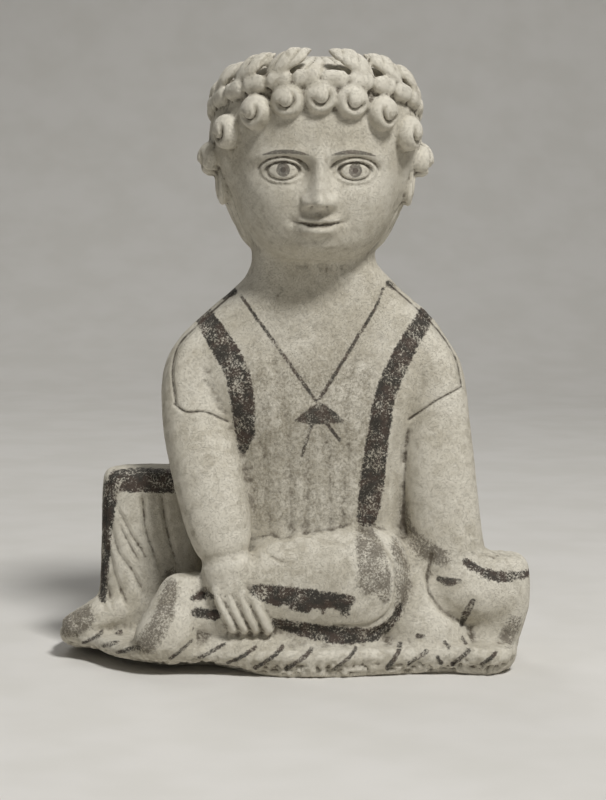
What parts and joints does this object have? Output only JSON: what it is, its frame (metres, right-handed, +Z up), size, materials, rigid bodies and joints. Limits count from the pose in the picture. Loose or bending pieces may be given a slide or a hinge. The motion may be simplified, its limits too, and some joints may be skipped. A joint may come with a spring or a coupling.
{
  "type": "seated boy figurine",
  "caption": "Worn limestone votive figure of a wreathed boy seated on a rough slab, with traces of dark paint on the tunic, leg cloth and slab edge.",
  "frame": {"origin": "centre of the bounding box at the flat underside of the slab", "axes": "+Z up through the figure, -Y the way the figure faces, +X to the viewer's right"},
  "size_m": [0.2516, 0.1164, 0.3241],
  "materials": {
    "stone": "matte, worn, with traces of dark paint"
  },
  "bodies": {
    "root": {"figurine": "stone"}
  },
  "joints": []
}
